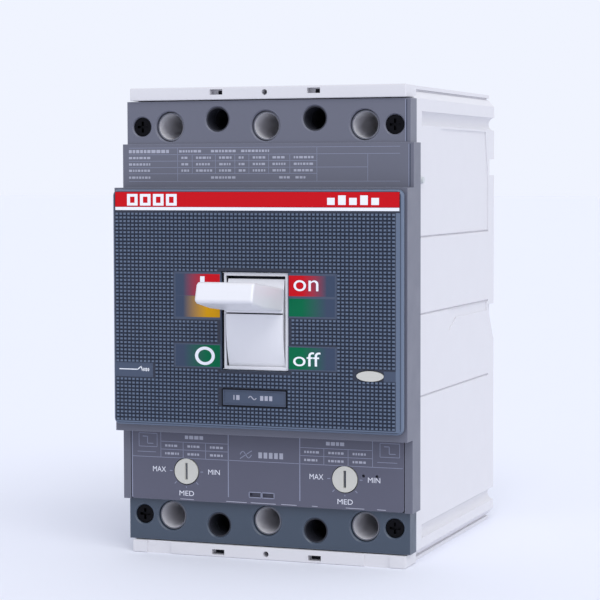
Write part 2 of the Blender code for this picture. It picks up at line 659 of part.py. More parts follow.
def main_spring(name, x):
    """An open coil along the lever's axis, between the toggle and the frame's bridge."""
    turns, steps, sides = 8, 12, 6
    wire, coil = 0.38, 1.75
    axis = 180 - LEVER_UP
    near, far = at(PIVOT, 14.0, axis), at(PIVOT, 35.6, axis)
    along = Vector((0.0, far[0] - near[0], far[1] - near[1]))
    length = along.length
    along.normalize()
    across = Vector((1.0, 0.0, 0.0))
    other = along.cross(across)
    count = turns * steps
    bm = bmesh.new()
    rings = []
    for i in range(count + 1):
        turn = 2 * pi * i / steps
        outward = across * cos(turn) + other * sin(turn)
        centre = Vector((x, *near)) + along * (wire + (length - 2 * wire) * i / count) + outward * coil
        ring = []
        for k in range(sides):
            tilt = 2 * pi * k / sides
            ring.append(bm.verts.new(centre + outward * (wire * cos(tilt)) + along * (wire * sin(tilt))))
        rings.append(ring)
    for a, b in zip(rings, rings[1:]):
        for k in range(sides):
            j = (k + 1) % sides
            bm.faces.new((a[k], a[j], b[j], b[k]))
    bm.faces.new(rings[0][::-1])
    bm.faces.new(rings[-1])
    return finish(new_object(name, bm), name, "spring_steel", (0, *PIVOT))


def latch():
    """The lever that the trip bar holds: its lower end rests beside the trip bar's catch."""
    y, z = LATCH_PIN
    outline = [(y - 3.0, z + 1.0), (y - 3.0, -24.6), (y + 1.6, -24.6), (y + 2.4, -18.0), (y + 7.0, -10.5)]
    outline += [(y + 6.0, -8.2), (y + 1.0, -9.2)]
    body = prism(outline, -3.4, 3.4)
    join(body, rod(LATCH_PIN, 1.7, -15.0, 15.0, sides=16))
    return finish(body, "latch", "zinc_steel", (0, *LATCH_PIN))


# Trip unit


def trip_bar():
    y, z = TRIP_BAR
    bar = rod(TRIP_BAR, 3.0, -46.6, 46.6, sides=20)
    for x in POLES:
        join(bar, box((x - 3.0, x + 3.0), (y - 8.0, y - 1.0), (z - 1.0, z + 1.0)))
    join(bar, box((BUTTON_X - 2.5, BUTTON_X + 2.5), (y - 1.0, y + 1.0), (z + 1.0, BUTTON_Z + 2.2)))
    join(bar, box((-3.0, 3.0), (y - 1.2, y + 0.8), (z + 1.0, -25.0)))
    return finish(bar, "trip_bar", "dark_plastic", (0, *TRIP_BAR))


def bimetal(name, x):
    strip = box((x - 4.0, x + 4.0), (-95.0, PAD_FRONT - GAP), (-37.4, -36.2))
    join(strip, box((x - 4.0, x + 4.0), (PAD_FRONT - GAP - 1.5, PAD_FRONT - GAP), (-46.0, -36.4)))
    return finish(strip, name, "bimetal_strip")


def magnet_yoke(name, x):
    yoke = box((x - 8.0, x + 8.0), (-62.0, -40.5), (-50.0, -48.0))
    join(yoke, box((x - 8.0, x - 6.0), (-62.0, -46.0), (-49.0, -32.0)))
    join(yoke, box((x + 6.0, x + 8.0), (-62.0, -46.0), (-49.0, -32.0)))
    return finish(yoke, name, "zinc_steel")


def test_button():
    head = prism(oval(), FASCIA_FRONT - 0.5, BLOCK_FRONT - 0.3 - 2.2, "Y")
    join(head, rod((BUTTON_X, BUTTON_Z), 1.4, FASCIA_FRONT + 0.3, TRIP_BAR[0] - 1.5, "Y", 16))
    return finish(head, "test_button", "cream_plastic", (BUTTON_X, FASCIA_FRONT, BUTTON_Z))


def setting_dial(name, x):
    front = PANEL_FRONT - 0.3
    dial = rod((x, DIAL_Z), DIAL_RADIUS, front, PANEL_FRONT + PANEL_THICK, "Y", 32)
    join(dial, rod((x, DIAL_Z), 2.2, PANEL_FRONT + PANEL_THICK - 1, -102.0, "Y", 16))
    cut(dial, box((x - 0.45, x + 0.45), (front - 1, front + 0.8), (DIAL_Z - 2.9, DIAL_Z + 2.9)))
    return finish(dial, name, "cream_plastic", (x, PANEL_FRONT, DIAL_Z))


def main():
    clear_scene()
    base_housing()
    main_cover()
    fascia_cover()
    stripe_label()
    rating_badge()
    window_bezel()
    trip_unit_panel()
    corners = ((-1, 1), (1, 1), (-1, -1), (1, -1))
    for i, (side, end) in enumerate(corners, 1):
        cover_screw(f"cover_screw_{i}", side * COVER_SCREW_X, end * SCREW_Z)
    for i, x in enumerate(POLES, 1):
        terminal(f"line_terminal_{i}", x, 1)
        terminal(f"load_terminal_{i}", x, -1)
        terminal_screw(f"line_screw_{i}", x, SCREW_Z)
        terminal_screw(f"load_screw_{i}", x, -SCREW_Z)
        fixed_contact(f"fixed_contact_{i}", x)
        contact_arm(f"contact_arm_{i}", x)
        moving_contact(f"moving_contact_{i}", x)
        arc_chute(f"arc_chute_{i}", x)
        bimetal(f"bimetal_{i}", x)
        magnet_yoke(f"magnet_yoke_{i}", x)
    contact_crossbar()
    mechanism_plate("mechanism_plate_left", -1)
    mechanism_plate("mechanism_plate_right", 1)
    handle_lever()
    handle_shutter()
    handle_frame()
    upper_link()
    toggle_pin()
    lower_link()
    main_spring("main_spring_left", -2.4)
    main_spring("main_spring_right", 2.4)
    latch()
    trip_bar()
    test_button()
    setting_dial("thermal_dial", -DIAL_X)
    setting_dial("magnetic_dial", DIAL_X)


main()
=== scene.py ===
"""Looks of the three-pole molded case breaker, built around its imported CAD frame.

The frame's axes hold here: X to the right, Y to the back, Z up, with the origin at the centre of the rear
mounting face. The constants are in millimetres, apart from the stage's, and the objects in metres.
"""

import json
from math import cos, pi, radians, sin
from random import Random

import bmesh
import bpy
from mathutils import Matrix, Vector


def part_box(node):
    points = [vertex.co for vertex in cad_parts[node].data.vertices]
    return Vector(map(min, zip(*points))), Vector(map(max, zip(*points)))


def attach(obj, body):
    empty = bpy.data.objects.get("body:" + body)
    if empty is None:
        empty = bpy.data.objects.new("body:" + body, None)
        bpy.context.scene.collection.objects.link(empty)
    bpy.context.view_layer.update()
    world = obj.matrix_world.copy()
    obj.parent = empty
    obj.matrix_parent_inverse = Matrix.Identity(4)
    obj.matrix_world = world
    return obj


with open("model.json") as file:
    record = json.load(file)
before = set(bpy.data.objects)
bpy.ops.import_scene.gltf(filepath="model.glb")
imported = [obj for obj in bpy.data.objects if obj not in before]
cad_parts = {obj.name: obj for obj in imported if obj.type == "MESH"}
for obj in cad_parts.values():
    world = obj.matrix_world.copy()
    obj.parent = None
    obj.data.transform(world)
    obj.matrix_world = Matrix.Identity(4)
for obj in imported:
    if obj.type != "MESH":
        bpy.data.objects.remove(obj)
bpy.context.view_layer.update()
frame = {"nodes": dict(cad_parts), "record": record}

MM = 0.001
NODES = frame["nodes"]
# Printed marks, painted shade and painted highlights all stand out by this much.
MARK_LIFT = 0.03  # how far printed marks stand out
CORNERS = ((-1, -1), (1, -1), (1, 1), (-1, 1))
POLE_X = (-35.0, 0.0, 35.0)
TERMINAL_SCREW_Z = 66.8
MOUNTING_HOLE_X, MOUNTING_HOLE_Z = 17.5, 69.1
DIAL_X, DIAL_Z = (-28.7, 28.7), -50.9
SHARP_ANGLE = 32  # degrees; flatter edges of a CAD node are shaded smooth


def linear(colour):
    """A linear colour from an sRGB one of 0 to 255."""
    return tuple(
        c / 255 / 12.92 if c <= 10 else ((c / 255 + 0.055) / 1.055) ** 2.4 for c in colour
    )


# Materials


def add(tree, kind, inputs=None, **settings):
    """A new node with its settings and the constants of its inputs."""
    made = tree.nodes.new(kind)
    for name, value in settings.items():
        setattr(made, name, value)
    for name, value in (inputs or {}).items():
        made.inputs[name].default_value = value
    return made


def start(name, roughness, metallic=0.0):
    """A new material with its node tree, shader and object coordinates."""
    made = bpy.data.materials.new(name)
    made.use_nodes = True
    tree = made.node_tree
    shader = tree.nodes["Principled BSDF"]
    shader.inputs["Roughness"].default_value = roughness
    shader.inputs["Metallic"].default_value = metallic
    place = add(tree, "ShaderNodeTexCoord").outputs["Object"]
    return made, tree, shader, place


def noise(tree, place, size, detail=2.0, stretch=(1, 1, 1)):
    """Noise whose features are about size millimetres, longer along an axis whose stretch is small."""
    if stretch != (1, 1, 1):
        mapping = add(tree, "ShaderNodeMapping")
        mapping.inputs["Scale"].default_value = stretch
        tree.links.new(place, mapping.inputs["Vector"])
        place = mapping.outputs["Vector"]
    texture = add(tree, "ShaderNodeTexNoise", {"Scale": 1 / (size * MM), "Detail": detail})
    tree.links.new(place, texture.inputs["Vector"])
    return texture.outputs["Fac"]


def ranged(tree, value, low, high, to_low, to_high):
    """The value mapped from the range low to high onto to_low to to_high, and kept within it."""
    made = add(
        tree,
        "ShaderNodeMapRange",
        {"From Min": low, "From Max": high, "To Min": to_low, "To Max": to_high},
    )
    tree.links.new(value, made.inputs["Value"])
    return made.outputs["Result"]


def mixed(tree, factor, first, second):
    """A colour between first and second, each a colour or a socket."""
    made = add(tree, "ShaderNodeMix", data_type="RGBA")
    tree.links.new(factor, made.inputs["Factor"])
    for name, value in (("A", first), ("B", second)):
        socket = next(s for s in made.inputs if s.name == name and s.type == "RGBA")
        if isinstance(value, tuple):
            socket.default_value = (*value, 1.0)
        else:
            tree.links.new(value, socket)
    return next(s for s in made.outputs if s.type == "RGBA")


def bump(tree, shader, height, strength, distance):
    """Small relief from a height; distance is in millimetres."""
    made = add(tree, "ShaderNodeBump", {"Strength": strength, "Distance": distance * MM})
    tree.links.new(height, made.inputs["Height"])
    tree.links.new(made.outputs["Normal"], shader.inputs["Normal"])


def edge_mask(tree, radius):
    """1 near a sharp edge and 0 away from it, by how far rounding to radius would turn the surface."""
    unturned, turned = 0.995, 0.75
    rounded = add(tree, "ShaderNodeBevel", {"Radius": radius * MM}, samples=4)
    plain = add(tree, "ShaderNodeNewGeometry")
    dot = add(tree, "ShaderNodeVectorMath", operation="DOT_PRODUCT")
    tree.links.new(rounded.outputs["Normal"], dot.inputs[0])
    tree.links.new(plain.outputs["Normal"], dot.inputs[1])
    return ranged(tree, dot.outputs["Value"], unturned, turned, 0.0, 1.0)


def shade(colour, factor):
    """The colour made darker or lighter by factor."""
    return tuple(min(c * factor, 1.0) for c in colour)


def along(tree, place, axis, low, high):
    """0 at low and 1 at high, in millimetres along an axis of the object."""
    split = add(tree, "ShaderNodeSeparateXYZ")
    tree.links.new(place, split.inputs["Vector"])
    return ranged(tree, split.outputs[axis], low * MM, high * MM, 0.0, 1.0)


def moulded(name, colour, roughness, grain, grain_size, cloud, edge=0.0, second=None):
    """Moulded plastic: sparked grain, faint clouding, uneven gloss, and painted highlights along sharp
    edges.

    grain is the bump's strength, grain_size is in millimetres, and cloud and edge say how strong the
    clouding and the painted edge highlight are. second = (colour, axis, low, high) turns to another
    colour along an axis.
    """
    made, tree, shader, place = start(name, roughness)
    clouds = noise(tree, place, 22.0, 3.0)
    tint = mixed(tree, clouds, shade(colour, 1 - cloud), shade(colour, 1 + cloud))
    fleck = ranged(tree, noise(tree, place, 0.8, 2.0), 0.35, 0.65, 0.0, 1.0)
    tint = mixed(tree, fleck, tint, colour)
    if second:
        other, axis, low, high = second
        tint = mixed(tree, along(tree, place, axis, low, high), tint, other)
    if edge:
        # Painted highlight: the colour turns paler near sharp edges, as if they caught the light.
        painted_highlight = add(tree, "ShaderNodeMath", operation="MULTIPLY")
        painted_highlight.inputs[1].default_value = edge
        tree.links.new(edge_mask(tree, 0.5), painted_highlight.inputs[0])
        tint = mixed(tree, painted_highlight.outputs["Value"], tint, shade(tuple(c + 0.05 for c in colour), 1.6))
    tree.links.new(tint, shader.inputs["Base Color"])
    gloss = ranged(tree, noise(tree, place, 9.0, 3.0), 0.3, 0.7, roughness - 0.04, roughness + 0.05)
    tree.links.new(gloss, shader.inputs["Roughness"])
    bump(tree, shader, noise(tree, place, grain_size, 2.0), grain, 0.05)
    return made


def metal(name, colour, roughness=0.3, stretch=(1, 1, 1), grain=0.15, tarnish=0.12):
    """Metal with drawn or tumbled marks and slightly duller patches."""
    made, tree, shader, place = start(name, roughness, 1.0)
    patches = noise(tree, place, 4.0, 4.0)
    tint = mixed(tree, patches, shade(colour, 1 - tarnish), colour)
    tree.links.new(tint, shader.inputs["Base Color"])
    marks = noise(tree, place, 0.25, 2.0, stretch)
    gloss = ranged(tree, marks, 0.3, 0.7, roughness - 0.06, roughness + 0.1)
    tree.links.new(gloss, shader.inputs["Roughness"])
    bump(tree, shader, marks, grain, 0.03)
    return made


def ink(name, colour, roughness=0.5, fade=None):
    """Screen-printed ink, a little uneven.

    fade = (colour, x of that colour, x of full ink) lets the ink fade out along X, in millimetres.
    """
    made, tree, shader, place = start(name, roughness)
    speck = noise(tree, place, 0.5, 2.0)
    tint = mixed(tree, speck, shade(colour, 0.93), shade(colour, 1.05))
    if fade:
        under, clear_x, full_x = fade
        tint = mixed(tree, along(tree, place, "X", clear_x, full_x), under, tint)
    tree.links.new(tint, shader.inputs["Base Color"])
    shader.inputs["Specular IOR Level"].default_value = 0.12
    bump(tree, shader, noise(tree, place, 0.3, 2.0), 0.15, 0.02)
    return made


SLATE = linear((62, 74, 96))
LIGHT_GREY = linear((216, 215, 219))
COVER = linear((100, 102, 116))
LOWER_COVER = linear((62, 74, 90))
# Painted shade: the dark of the valleys between the knurl's pyramids.
VALLEY_SHADE = linear((31, 39, 58))
FASCIA = linear((94, 108, 130))
WHITE = linear((228, 228, 232))
FACE_LOW, FACE_HIGH = (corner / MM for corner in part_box("fascia_cover"))
FACE_Y = FACE_LOW.y
KNURL_HEIGHT = 0.42

# The cover turns darker below its terminal step; the fascia's face and the knurl's feet carry painted
# shade, the dark of the valleys between the pyramids, which turns to the fascia's own colour behind
# the face and towards the tips.
COVER_TURN = (LOWER_COVER, "Z", -61.2, -61.4)
FASCIA_SHADE_TURN = (FASCIA, "Y", FACE_Y, FACE_Y + 0.1)
KNURL_SHADE_TURN = (FASCIA, "Y", FACE_Y - 0.1, FACE_Y - KNURL_HEIGHT)

# Columns: name, colour, roughness, grain, grain size, cloud, and where needed edge and second colour;
# edge is the strength of a painted highlight along sharp edges.
MATERIALS = {
    "light_grey_plastic": moulded("housing_plastic", LIGHT_GREY, 0.42, 0.3, 0.4, 0.02),
    # The cover's edge value paints highlights along its sharp edges.
    "grey_plastic": moulded("cover_plastic", COVER, 0.36, 0.3, 0.3, 0.04, 0.3, COVER_TURN),
    "dark_blue_plastic": moulded("fascia_plastic", VALLEY_SHADE, 0.34, 0.2, 0.3, 0.05, second=FASCIA_SHADE_TURN),
    "white_plastic": moulded("lever_plastic", WHITE, 0.34, 0.12, 0.5, 0.01),
    "cream_plastic": moulded("button_plastic", linear((200, 199, 192)), 0.38, 0.15, 0.4, 0.03),
    "dark_plastic": moulded("dark_plastic", linear((38, 42, 54)), 0.45, 0.25, 0.3, 0.08),
    "red_film": ink("stripe_ink", linear((200, 14, 26)), 0.4),
    "black_steel": metal("black_steel", linear((26, 26, 29)), 0.34, grain=0.3),
    "zinc_steel": metal("zinc_steel", linear((198, 198, 192)), 0.32),
    "spring_steel": metal("spring_steel", linear((176, 176, 180)), 0.28),
    "plated_copper": metal("tin_plate", linear((214, 214, 208)), 0.28, (1, 1, 0.08)),
    "copper": metal("bare_copper", linear((216, 142, 104)), 0.3, (1, 0.1, 0.1)),
    "silver_alloy": metal("silver_contact", linear((228, 228, 222)), 0.34, grain=0.35),
    "fibre_board": moulded("arc_board", linear((150, 84, 62)), 0.7, 0.5, 0.25, 0.18),
    "bimetal_strip": metal("bimetal", linear((190, 176, 152)), 0.34, (1, 0.06, 1)),
    "brown_phenolic": moulded("brown_phenolic", linear((84, 56, 44)), 0.5, 0.35, 0.3, 0.15),
}
# The panel's edge value paints highlights along its sharp edges.
PANEL_PLASTIC = moulded("panel_plastic", linear((86, 87, 104)), 0.4, 0.3, 0.3, 0.04, 0.25)
SMOOTH_PLASTIC = moulded("smooth_fascia_plastic", SLATE, 0.34, 0.15, 0.4, 0.06)
MARGIN_PLASTIC = moulded("margin_plastic", FASCIA, 0.34, 0.15, 0.4, 0.06)
# The knurl: painted shade at the pyramids' feet, turning to the fascia's own colour at their tips.
KNURL_PLASTIC = moulded("knurl_plastic", VALLEY_SHADE, 0.34, 0.1, 0.3, 0.05, second=KNURL_SHADE_TURN)
# Painted shade: the near-black inside of the mounting holes.
BORE_SHADE = moulded("bore_shade", linear((40, 42, 52)), 0.6, 0.2, 0.3, 0.05)
# Painted shade: the pale housing's tube ends, shaded down in the cover's holes.
RIM_SHADE = moulded("tube_rim_shade", linear((108, 110, 120)), 0.5, 0.2, 0.3, 0.05)
PIN_PLASTIC = moulded("pin_plastic", linear((198, 203, 204)), 0.4, 0.2, 0.4, 0.02)
WHITE_INK = ink("white_ink", linear((240, 243, 250)))
PALE_INK = ink("pale_ink", linear((172, 174, 188)))
WORD_INK = ink("word_ink", linear((226, 228, 238)))
# Print ink, which also paints the highlight down the cover's right-hand edge.
TABLE_INK_AND_HIGHLIGHT = ink("table_ink_and_highlight", linear((142, 146, 166)))
# Painted shade, for the dial slots and the cover's grooves.
GREY_SHADE = ink("grey_shade", linear((60, 66, 82)))
# Painted shade, for the recess ends and the gaps at the lever, the window and the badge.
DARK_SHADE = ink("dark_shade", linear((22, 24, 32)))


# Mesh helpers


def piece(name, bm, material, body="case"):
    """A mesh object that rides on a body, from a bmesh drawn in millimetres."""
    bmesh.ops.recalc_face_normals(bm, faces=bm.faces)
    bmesh.ops.scale(bm, vec=(MM, MM, MM), verts=bm.verts)
    mesh = bpy.data.meshes.new(name)
    bm.to_mesh(mesh)
    bm.free()
    mesh.materials.append(material)
    made = bpy.data.objects.new(name, mesh)
    bpy.context.scene.collection.objects.link(made)
    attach(made, body)


def slab(bm, outline, y, thick=0.06):
    """Adds a flat plate to bm: its outline of (x, z) points is in front of the plane y."""
    front = [bm.verts.new((x, y - MARK_LIFT, z)) for x, z in outline]
    back = [bm.verts.new((x, y - MARK_LIFT + thick, z)) for x, z in outline]
    bm.faces.new(front)
    bm.faces.new(reversed(back))
    for i in range(len(outline)):
        j = (i + 1) % len(outline)
        bm.faces.new((front[j], front[i], back[i], back[j]))


def rectangle(x, z):
    """The outline of a rectangle between two x and two z values."""
    return [(x[0], z[0]), (x[1], z[0]), (x[1], z[1]), (x[0], z[1])]


def stroke(a, b, width):
    """The outline of a straight stroke from a to b."""
    course = Vector((b[0] - a[0], b[1] - a[1])).normalized()
    side = Vector((-course.y, course.x)) * width / 2
    a, b = Vector(a), Vector(b)
    return [tuple(p) for p in (a - side, b - side, b + side, a + side)]


def box_strokes(x, z, width):
    """The four strokes of an empty box."""
    corners = rectangle(x, z)
    return [stroke(a, b, width) for a, b in zip(corners, corners[1:] + corners[:1])]


def wave_strokes(x, z, step, height, width):
    """One period of a wave in ten strokes, from x on."""
    points = [(x + i * step, z + height * sin(i * 2 * pi / 10)) for i in range(11)]
    return [stroke(a, b, width) for a, b in zip(points, points[1:])]


def circle(centre, radius, sides):
    """The outline of a circle round centre, which is (x, z)."""
    turns = [2 * pi * i / sides for i in range(sides)]
    return [(centre[0] + radius * cos(t), centre[1] + radius * sin(t)) for t in turns]


def ring(centre, outer, inner, squash, sides=48):
    """Outlines of the short segments of a ring, made lower by squash."""
    points = [
        [(x, centre[1] + (z - centre[1]) * squash) for x, z in circle(centre, r, sides)]
        for r in (outer, inner)
    ]
    return [
        [points[0][i], points[0][(i + 1) % sides], points[1][(i + 1) % sides], points[1][i]]
        for i in range(sides)
    ]


def marks(name, outlines, y, material, slot="grey_plastic", body="case"):
    """One piece made of flat marks on the plane y: print, or painted shade and highlights."""
    bm = bmesh.new()
    for outline in outlines:
        slab(bm, outline, y)
    piece(name, bm, material, body)


def lettering(name, text, x, z, y, material):
    """A generic word in the built-in font, fitted to the x and z given."""
    curve = bpy.data.curves.new(name, "FONT")
    curve.body = text
    curve.resolution_u = 6
    source = bpy.data.objects.new(name + "_curve", curve)
    bpy.context.scene.collection.objects.link(source)
    bpy.context.view_layer.update()
    shown = source.evaluated_get(bpy.context.evaluated_depsgraph_get())
    mesh = bpy.data.meshes.new_from_object(shown)
    bpy.data.objects.remove(source)
    bm = bmesh.new()
    bm.from_mesh(mesh)
    bpy.data.meshes.remove(mesh)
    low = [min(v.co[i] for v in bm.verts) for i in (0, 1)]
    high = [max(v.co[i] for v in bm.verts) for i in (0, 1)]
    for vert in bm.verts:
        across = (vert.co.x - low[0]) / (high[0] - low[0])
        up = (vert.co.y - low[1]) / (high[1] - low[1])
        vert.co = (x[0] + across * (x[1] - x[0]), y - MARK_LIFT * 2, z[0] + up * (z[1] - z[0]))
    piece(name, bm, material)


# CAD nodes


def welded(name):
    """A CAD node with smooth shading and a modifier that joins its loose triangles."""
    made = NODES[name]
    weld = made.modifiers.new("weld", "WELD")
    weld.merge_threshold = 1e-6
    made.data.shade_smooth()
    return made


def smooth_round(name):
    """Smooth shading over the rounded edges that a CAD node already has."""
    made = welded(name)
    split = made.modifiers.new("split", "EDGE_SPLIT")
    split.split_angle = radians(SHARP_ANGLE)
    made.modifiers.new("normals", "WEIGHTED_NORMAL")


def soften(name, width):
    """Rounds the sharp edges of a CAD node with modifiers, so that its own mesh stays as packed."""
    made = welded(name)
    flat = made.modifiers.new("flat", "DECIMATE")
    flat.decimate_type = "DISSOLVE"
    flat.angle_limit = radians(1.0)
    edge = made.modifiers.new("edge", "BEVEL")
    edge.width = width * MM
    edge.segments = 2
    edge.limit_method = "ANGLE"
    edge.angle_limit = radians(SHARP_ANGLE)
    smooth = made.modifiers.new("normals", "WEIGHTED_NORMAL")
    smooth.keep_sharp = True


ROUNDING = {  # of the edges that the CAD leaves sharp
    "rating_badge": 0.12,
    "window_bezel": 0.25,
    "trip_unit_panel": 0.25,
    "test_button": 0.3,
    "thermal_dial": 0.3,
    "magnetic_dial": 0.3,
}


def dress_nodes():
    """Gives each CAD node its procedural material, and rounds the edges of those that show."""
    for part in frame["record"]["subparts"]:
        made = NODES[part["node"]]
        made.data.materials.clear()
        made.data.materials.append(MATERIALS[part["material_slot"]])
    NODES["trip_unit_panel"].data.materials[0] = PANEL_PLASTIC
    NODES["rating_badge"].data.materials[0] = SMOOTH_PLASTIC
    for name in ("base_housing", "main_cover", "fascia_cover", "handle_lever"):
        smooth_round(name)
    for name, width in ROUNDING.items():
        soften(name, width)


# Fascia

RIGHT_MARGIN = 2.3  # smooth strip along the fascia's right edge
KNURL_X = (FACE_LOW.x + 1.0, FACE_HIGH.x - RIGHT_MARGIN)
KNURL_Z = (FACE_LOW.z + 1.3, 37.9)  # up to just below the white line
KNURL_COUNT = (69, 57)
KNURL_PITCH = tuple((b - a) / n for (a, b), n in zip((KNURL_X, KNURL_Z), KNURL_COUNT))
LABEL_X = 29.2  # outer edge of the four coloured labels
WINDOW = (12.4, -15.2, 18.6)  # half width, lower and upper edge
SMOOTH_ZONES = (  # each as its x and z values
    ((-WINDOW[0], WINDOW[0]), (WINDOW[1], WINDOW[2])),
    ((-LABEL_X, -12.0), (2.0, 18.0)),  # labels
    ((-LABEL_X, -12.0), (-14.2, -6.1)),
    ((12.0, LABEL_X), (3.1, 18.0)),
    ((12.0, LABEL_X), (-14.2, -6.1)),
    ((-50.8, -36.9), (-18.0, -12.9)),  # breaker symbol
    ((45.2, KNURL_X[1]), (-17.2, -13.6)),  # right of the test button
)
KNURL_GAPS = SMOOTH_ZONES + (
    ((-11.9, 11.9), (-27.1, -20.6)),  # rating badge
    ((35.8, 45.5), (-17.1, -13.5)),  # test button
)
KNURL_BASE = 0.46  # half a pyramid's base, as a share of the pitch
KNURL_TOP = (0.34, 0.24)  # half widths of its blunt tip
SMOOTH_SINK = 0.015  # how much lower than printed marks the smooth patches stand


def in_gap(x, z, half):
    """Whether one of the knurl's gaps reaches into the middle half of a pyramid at x, z."""
    return any(
        gap_x[0] < x + half[0] / 2
        and x - half[0] / 2 < gap_x[1]
        and gap_z[0] < z + half[1] / 2
        and z - half[1] / 2 < gap_z[1]
        for gap_x, gap_z in KNURL_GAPS
    )


def knurl():
    """Rows of small blunt pyramids over the fascia, apart from the smooth zones."""
    bm = bmesh.new()
    half = tuple(pitch * KNURL_BASE for pitch in KNURL_PITCH)
    for i in range(KNURL_COUNT[0]):
        for j in range(KNURL_COUNT[1]):
            x = KNURL_X[0] + KNURL_PITCH[0] * (i + 0.5)
            z = KNURL_Z[0] + KNURL_PITCH[1] * (j + 0.5)
            if in_gap(x, z, half):
                continue
            base, tip = (
                [bm.verts.new((x + side * across, y, z + end * up)) for side, end in CORNERS]
                for (across, up), y in ((half, FACE_Y), (KNURL_TOP, FACE_Y - KNURL_HEIGHT))
            )
            bm.faces.new(tip)
            for k in range(4):
                bm.faces.new((base[k], base[(k + 1) % 4], tip[(k + 1) % 4], tip[k]))
    piece("fascia_knurl", bm, KNURL_PLASTIC)


def smooth_patches():
    """The smooth areas of the fascia: around the labels and along its right and lower edges."""
    edge = 0.85  # rounded edge of the fascia, which stays bare
    areas = [rectangle(x, z) for x, z in SMOOTH_ZONES[1:]]
    marks("smooth_areas", areas, FACE_Y + SMOOTH_SINK, SMOOTH_PLASTIC, "dark_blue_plastic")
    margins = [
        rectangle((KNURL_X[1], FACE_HIGH.x - edge), (KNURL_Z[0], KNURL_Z[1])),
        rectangle((FACE_LOW.x + edge, FACE_HIGH.x - edge), (FACE_LOW.z + edge, KNURL_Z[0])),
    ]
    marks("fascia_margins", margins, FACE_Y + SMOOTH_SINK, MARGIN_PLASTIC, "dark_blue_plastic")


def labels():
    """The coloured position labels beside the window, each fading into the fascia."""
    red, green, amber = linear((198, 16, 30)), linear((0, 104, 68)), linear((206, 150, 12))
    inner_x, outer_x = 12.3, LABEL_X - 0.8
    full_x, clear_x = 17.0, 25.6  # where a label starts and ends fading
    rows = (
        ("label_on_left", -1, red, (10.0, 17.3)),
        ("label_trip_left", -1, amber, (2.8, 9.9)),
        ("label_off_left", -1, green, (-13.8, -6.5)),
        ("label_on_right", 1, red, (10.4, 17.2)),
        ("label_trip_right", 1, green, (3.7, 9.6)),
        ("label_off_right", 1, green, (-13.8, -6.5)),
    )
    for name, side, colour, z in rows:
        x = tuple(sorted((side * inner_x, side * outer_x)))
        fading = ink(name + "_ink", colour, 0.42, (SLATE, side * clear_x, side * full_x))
        marks(name, [rectangle(x, z)], FACE_Y, fading, "dark_blue_plastic")
    top = FACE_Y - MARK_LIFT
    marks("mark_one", [rectangle((-19.4, -17.8), (11.2, 16.5))], top, WHITE_INK, "white_plastic")
    zero = ring((-17.8, -10.2), outer=3.6, inner=2.45, squash=0.86)
    marks("mark_zero", zero, top, WHITE_INK, "white_plastic")
    lettering("word_on", "on", (14.0, 22.7), (12.1, 15.7), FACE_Y, WHITE_INK)
    lettering("word_off", "off", (13.8, 23.4), (-12.7, -8.0), FACE_Y, WHITE_INK)


def stripe():
    """The white line under the red stripe, and plain shapes in place of its lettering."""
    low, high = (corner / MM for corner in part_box("stripe_label"))
    line = rectangle((low.x, high.x), (38.55, low.z - 0.1))
    marks("stripe_line", [line], FACE_Y, WHITE_INK, "white_plastic")
    bottom, top, width, bar = 40.1, 44.0, 3.9, (0.9, 1.1)
    hollow = []
    for i in range(4):
        x = -46.1 + i * 4.8
        hollow += [
            rectangle((x, x + width), (top - bar[0], top)),
            rectangle((x, x + width), (bottom, bottom + bar[0])),
            rectangle((x, x + bar[1]), (bottom + bar[0], top - bar[0])),
            rectangle((x + width - bar[1], x + width), (bottom + bar[0], top - bar[0])),
        ]
    solid = []
    for i in range(5):
        x = 25.8 + i * 3.8
        solid.append(rectangle((x, x + 2.6), (40.5, 43.6 if i % 2 else 42.8)))
    marks("stripe_marks", hollow + solid, low.y, WHITE_INK, "white_plastic")


def breaker_symbol():
    """The white circuit symbol at the left: a line, a switch blade and two crosses."""
    z = -15.45
    width, arm = 0.32, 0.5
    symbol = [
        stroke((-49.4, z), (-42.6, z), width),
        stroke((-42.7, z - 0.1), (-41.2, z + 1.1), width),
        stroke((-41.3, z + 1.1), (-40.8, z - 0.4), width),
        stroke((-41.2, z), (-38.3, z), width),
    ]
    for x in (-39.9, -38.9):
        symbol.append(stroke((x - arm, z - arm), (x + arm, z + arm), width))
        symbol.append(stroke((x - arm, z + arm), (x + arm, z - arm), width))
    marks("breaker_symbol", symbol, FACE_Y, WHITE_INK, "white_plastic")


def badge_marks():
    """A wave and bars in place of the badge's print."""
    low, high = (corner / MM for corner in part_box("rating_badge"))
    z = (low.z + high.z) / 2
    bars = ((-7.6, 0.4), (-6.6, 1.2), (2.0, 1.1), (3.6, 1.1), (5.2, 1.1))  # x and width
    print_marks = wave_strokes(-2.2, z, step=0.28, height=0.55, width=0.35)
    print_marks += [rectangle((x, x + width), (z - 0.8, z + 0.8)) for x, width in bars]
    sunk = 0.35  # how deep the badge's face lies in its frame
    marks("badge_marks", print_marks, low.y + sunk, PALE_INK, "white_plastic")


# Rating table on the cover's label step

LABEL_STEP_Y = -108.9
TABLE_TOP, TABLE_BOTTOM = 59.6, 48.2
TABLE_RULES = (57.3, 55.1, 52.9, 50.8)  # below each of these lies a row of print
TABLE_COLUMNS = (-31.8, -26.4, -17.9, -10.8, -5.7, 1.4, 9.0, 18.6)
TABLE_X = (-50.0, 36.4, 47.6)  # left end, last column and right end
HEADING_Z = 58.4
ROW_Z = (56.2, 54.0, 51.85, 49.5)


def dashes(random, x, z, tall=0.75, step=(0.5, 1.3)):
    """Short bars that stand in for a run of small print between two x values."""
    made = []
    at = x[0]
    while at < x[1] - step[0]:
        width = random.uniform(*step)
        made.append(rectangle((at, min(at + width, x[1])), (z - tall / 2, z + tall / 2)))
        at += width + 0.35
    return made


